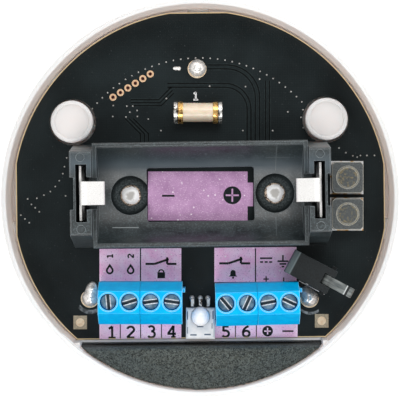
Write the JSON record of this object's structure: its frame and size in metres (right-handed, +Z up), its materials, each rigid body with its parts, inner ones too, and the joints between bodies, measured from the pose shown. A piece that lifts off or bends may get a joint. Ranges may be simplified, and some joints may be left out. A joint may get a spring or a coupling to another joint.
{
  "type": "water leak sensor",
  "caption": "Round floor-standing water leak sensor, opened: shallow cup with circuit board, battery cradle, screw terminals, tamper lever and sprung probe feet.",
  "frame": {"origin": "on the floor plane under the middle of the round base; the sprung probe tips touch z = 0", "axes": "+Z up out of the open side, +X along the battery and the terminals to the right, +Y away from the terminals, which face -Y"},
  "size_m": [0.072, 0.072, 0.0202],
  "materials": {
    "shell_plastic": "white moulded plastic, fine satin texture",
    "board_mask": "black solder mask over woven glass board, satin gloss",
    "holder_plastic": "black glass-filled plastic, lightly grained",
    "nickel_strip": "nickel plated strip, rolled finish",
    "solder": "bright solder",
    "terminal_plastic": "blue terminal plastic, low gloss",
    "tinned_bar": "tinned copper",
    "screw_steel": "nickel plated steel",
    "cage_steel": "zinc plated steel",
    "switch_plastic": "black plastic",
    "clear_plastic": "clear plastic, slightly frosted",
    "milky_lens": "milky white lens",
    "cream_tube": "cream enamelled tube",
    "gold_plate": "gold plated",
    "ferrite": "grey ferrite, sanded",
    "tinned_frame": "tinned terminal frame",
    "spring_steel": "spring steel wire",
    "foam": "dark closed-cell foam, granular",
    "module_can": "tinned shield on a small board",
    "sounder_brass": "thin brass disc"
  },
  "bodies": {
    "sensor": {"base_shell": "shell_plastic", "main_board": "board_mask", "battery_holder": "holder_plastic", "contact_left": "nickel_strip", "contact_right": "nickel_strip", "contact_solder_left": "solder", "contact_solder_right": "solder", "terminal_housing_one_two": "terminal_plastic", "terminal_housing_three_four": "terminal_plastic", "terminal_housing_five_six": "terminal_plastic", "terminal_housing_plus_minus": "terminal_plastic", "contact_bars_one_two": "tinned_bar", "contact_bars_three_four": "tinned_bar", "contact_bars_five_six": "tinned_bar", "contact_bars_plus_minus": "tinned_bar", "switch_body": "switch_plastic", "switch_feet": "solder", "light_holder": "clear_plastic", "status_light": "milky_lens", "light_leads": "nickel_strip", "tilt_tube": "cream_tube", "tilt_cap_left": "gold_plate", "tilt_cap_right": "gold_plate", "inductor_back": "ferrite", "inductor_front": "ferrite", "inductor_frame_back": "tinned_frame", "inductor_frame_front": "tinned_frame", "probe_barrel_back": "gold_plate", "probe_barrel_left": "gold_plate", "probe_barrel_right": "gold_plate", "probe_spring_back": "spring_steel", "probe_spring_left": "spring_steel", "probe_spring_right": "spring_steel", "probe_solder_back": "solder", "probe_solder_left": "solder", "probe_solder_right": "solder", "bay_pad": "foam", "radio_module": "module_can", "sounder_disc": "sounder_brass"},
    "screw_one": {"terminal_screw_one": "screw_steel"},
    "cage_one": {"clamp_cage_one": "cage_steel"},
    "screw_two": {"terminal_screw_two": "screw_steel"},
    "cage_two": {"clamp_cage_two": "cage_steel"},
    "screw_three": {"terminal_screw_three": "screw_steel"},
    "cage_three": {"clamp_cage_three": "cage_steel"},
    "screw_four": {"terminal_screw_four": "screw_steel"},
    "cage_four": {"clamp_cage_four": "cage_steel"},
    "screw_five": {"terminal_screw_five": "screw_steel"},
    "cage_five": {"clamp_cage_five": "cage_steel"},
    "screw_six": {"terminal_screw_six": "screw_steel"},
    "cage_six": {"clamp_cage_six": "cage_steel"},
    "screw_plus": {"terminal_screw_plus": "screw_steel"},
    "cage_plus": {"clamp_cage_plus": "cage_steel"},
    "screw_minus": {"terminal_screw_minus": "screw_steel"},
    "cage_minus": {"clamp_cage_minus": "cage_steel"},
    "lever": {"tamper_lever": "switch_plastic"},
    "tip_back": {"probe_tip_back": "gold_plate"},
    "tip_left": {"probe_tip_left": "gold_plate"},
    "tip_right": {"probe_tip_right": "gold_plate"}
  },
  "joints": [
    {"name": "screw_turn_one", "type": "hinge", "parent": "sensor", "child": "screw_one", "pos_m": [-0.01651, -0.01875, 0.0135], "axis": [0, 0, 1], "range_deg": [-960, 0]},
    {"name": "cage_rise_one", "type": "slide", "parent": "sensor", "child": "cage_one", "axis": [0, 0, 1], "range_m": [0, 0.0012]},
    {"name": "screw_turn_two", "type": "hinge", "parent": "sensor", "child": "screw_two", "pos_m": [-0.0127, -0.01875, 0.0135], "axis": [0, 0, 1], "range_deg": [-960, 0]},
    {"name": "cage_rise_two", "type": "slide", "parent": "sensor", "child": "cage_two", "axis": [0, 0, 1], "range_m": [0, 0.0012]},
    {"name": "screw_turn_three", "type": "hinge", "parent": "sensor", "child": "screw_three", "pos_m": [-0.0089, -0.01875, 0.0135], "axis": [0, 0, 1], "range_deg": [-960, 0]},
    {"name": "cage_rise_three", "type": "slide", "parent": "sensor", "child": "cage_three", "axis": [0, 0, 1], "range_m": [0, 0.0012]},
    {"name": "screw_turn_four", "type": "hinge", "parent": "sensor", "child": "screw_four", "pos_m": [-0.00509, -0.01875, 0.0135], "axis": [0, 0, 1], "range_deg": [-960, 0]},
    {"name": "cage_rise_four", "type": "slide", "parent": "sensor", "child": "cage_four", "axis": [0, 0, 1], "range_m": [0, 0.0012]},
    {"name": "screw_turn_five", "type": "hinge", "parent": "sensor", "child": "screw_five", "pos_m": [0.00469, -0.01906, 0.0135], "axis": [0, 0, 1], "range_deg": [-960, 0]},
    {"name": "cage_rise_five", "type": "slide", "parent": "sensor", "child": "cage_five", "axis": [0, 0, 1], "range_m": [0, 0.0012]},
    {"name": "screw_turn_six", "type": "hinge", "parent": "sensor", "child": "screw_six", "pos_m": [0.0085, -0.01897, 0.0135], "axis": [0, 0, 1], "range_deg": [-960, 0]},
    {"name": "cage_rise_six", "type": "slide", "parent": "sensor", "child": "cage_six", "axis": [0, 0, 1], "range_m": [0, 0.0012]},
    {"name": "screw_turn_plus", "type": "hinge", "parent": "sensor", "child": "screw_plus", "pos_m": [0.0123, -0.01887, 0.0135], "axis": [0, 0, 1], "range_deg": [-960, 0]},
    {"name": "cage_rise_plus", "type": "slide", "parent": "sensor", "child": "cage_plus", "axis": [0, 0, 1], "range_m": [0, 0.0012]},
    {"name": "screw_turn_minus", "type": "hinge", "parent": "sensor", "child": "screw_minus", "pos_m": [0.01611, -0.01878, 0.0135], "axis": [0, 0, 1], "range_deg": [-960, 0]},
    {"name": "cage_rise_minus", "type": "slide", "parent": "sensor", "child": "cage_minus", "axis": [0, 0, 1], "range_m": [0, 0.0012]},
    {"name": "lever_press", "type": "hinge", "parent": "sensor", "child": "lever", "pos_m": [0.02312, -0.01502, 0.0106], "axis": [0.4695, 0.8829, 0], "range_deg": [0, 24], "stiffness_Nm_per_rad": 0.002, "springref_deg": -17.19},
    {"name": "tip_press_back", "type": "slide", "parent": "sensor", "child": "tip_back", "axis": [0, 0, 1], "range_m": [0, 0.0008], "stiffness_N_per_m": 20, "springref_m": -0.0072, "deforming": ["probe_spring_back"]},
    {"name": "tip_press_left", "type": "slide", "parent": "sensor", "child": "tip_left", "axis": [0, 0, 1], "range_m": [0, 0.0008], "stiffness_N_per_m": 20, "springref_m": -0.0072, "deforming": ["probe_spring_left"]},
    {"name": "tip_press_right", "type": "slide", "parent": "sensor", "child": "tip_right", "axis": [0, 0, 1], "range_m": [0, 0.0008], "stiffness_N_per_m": 20, "springref_m": -0.0072, "deforming": ["probe_spring_right"]}
  ],
  "couplings": [
    {"joint": "screw_turn_one", "follows": "cage_rise_one", "rad_per_m": -13963},
    {"joint": "screw_turn_two", "follows": "cage_rise_two", "rad_per_m": -13963},
    {"joint": "screw_turn_three", "follows": "cage_rise_three", "rad_per_m": -13963},
    {"joint": "screw_turn_four", "follows": "cage_rise_four", "rad_per_m": -13963},
    {"joint": "screw_turn_five", "follows": "cage_rise_five", "rad_per_m": -13963},
    {"joint": "screw_turn_six", "follows": "cage_rise_six", "rad_per_m": -13963},
    {"joint": "screw_turn_plus", "follows": "cage_rise_plus", "rad_per_m": -13963},
    {"joint": "screw_turn_minus", "follows": "cage_rise_minus", "rad_per_m": -13963}
  ]
}
